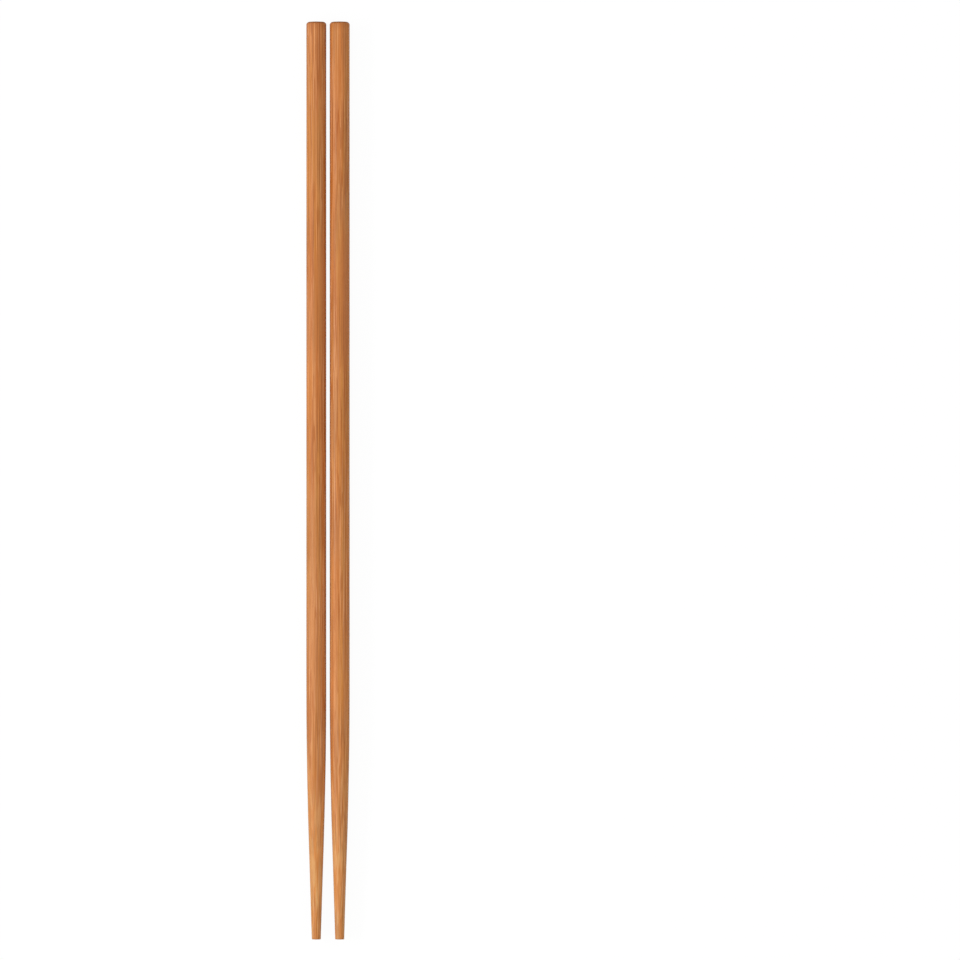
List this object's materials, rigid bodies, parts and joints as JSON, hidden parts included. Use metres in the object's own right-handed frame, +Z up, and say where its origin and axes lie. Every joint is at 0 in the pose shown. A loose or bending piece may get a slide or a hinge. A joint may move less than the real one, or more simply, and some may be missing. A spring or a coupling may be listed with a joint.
{
  "type": "pair of round bamboo chopsticks",
  "caption": "Round bamboo eating sticks lying side by side, each with a straight shank, a crowned head and a soft taper into a slim blunt tip.",
  "frame": {"origin": "on the table under the pair, halfway along the sticks and midway between them", "axes": "+Y along the sticks from the tips to the heads, +X from the left stick to the right one, +Z up from the table"},
  "size_m": [0.0114, 0.24, 0.0052],
  "materials": {
    "bamboo": "satin"
  },
  "bodies": {
    "root": {"chopstick_left": "bamboo", "chopstick_right": "bamboo"}
  },
  "joints": []
}
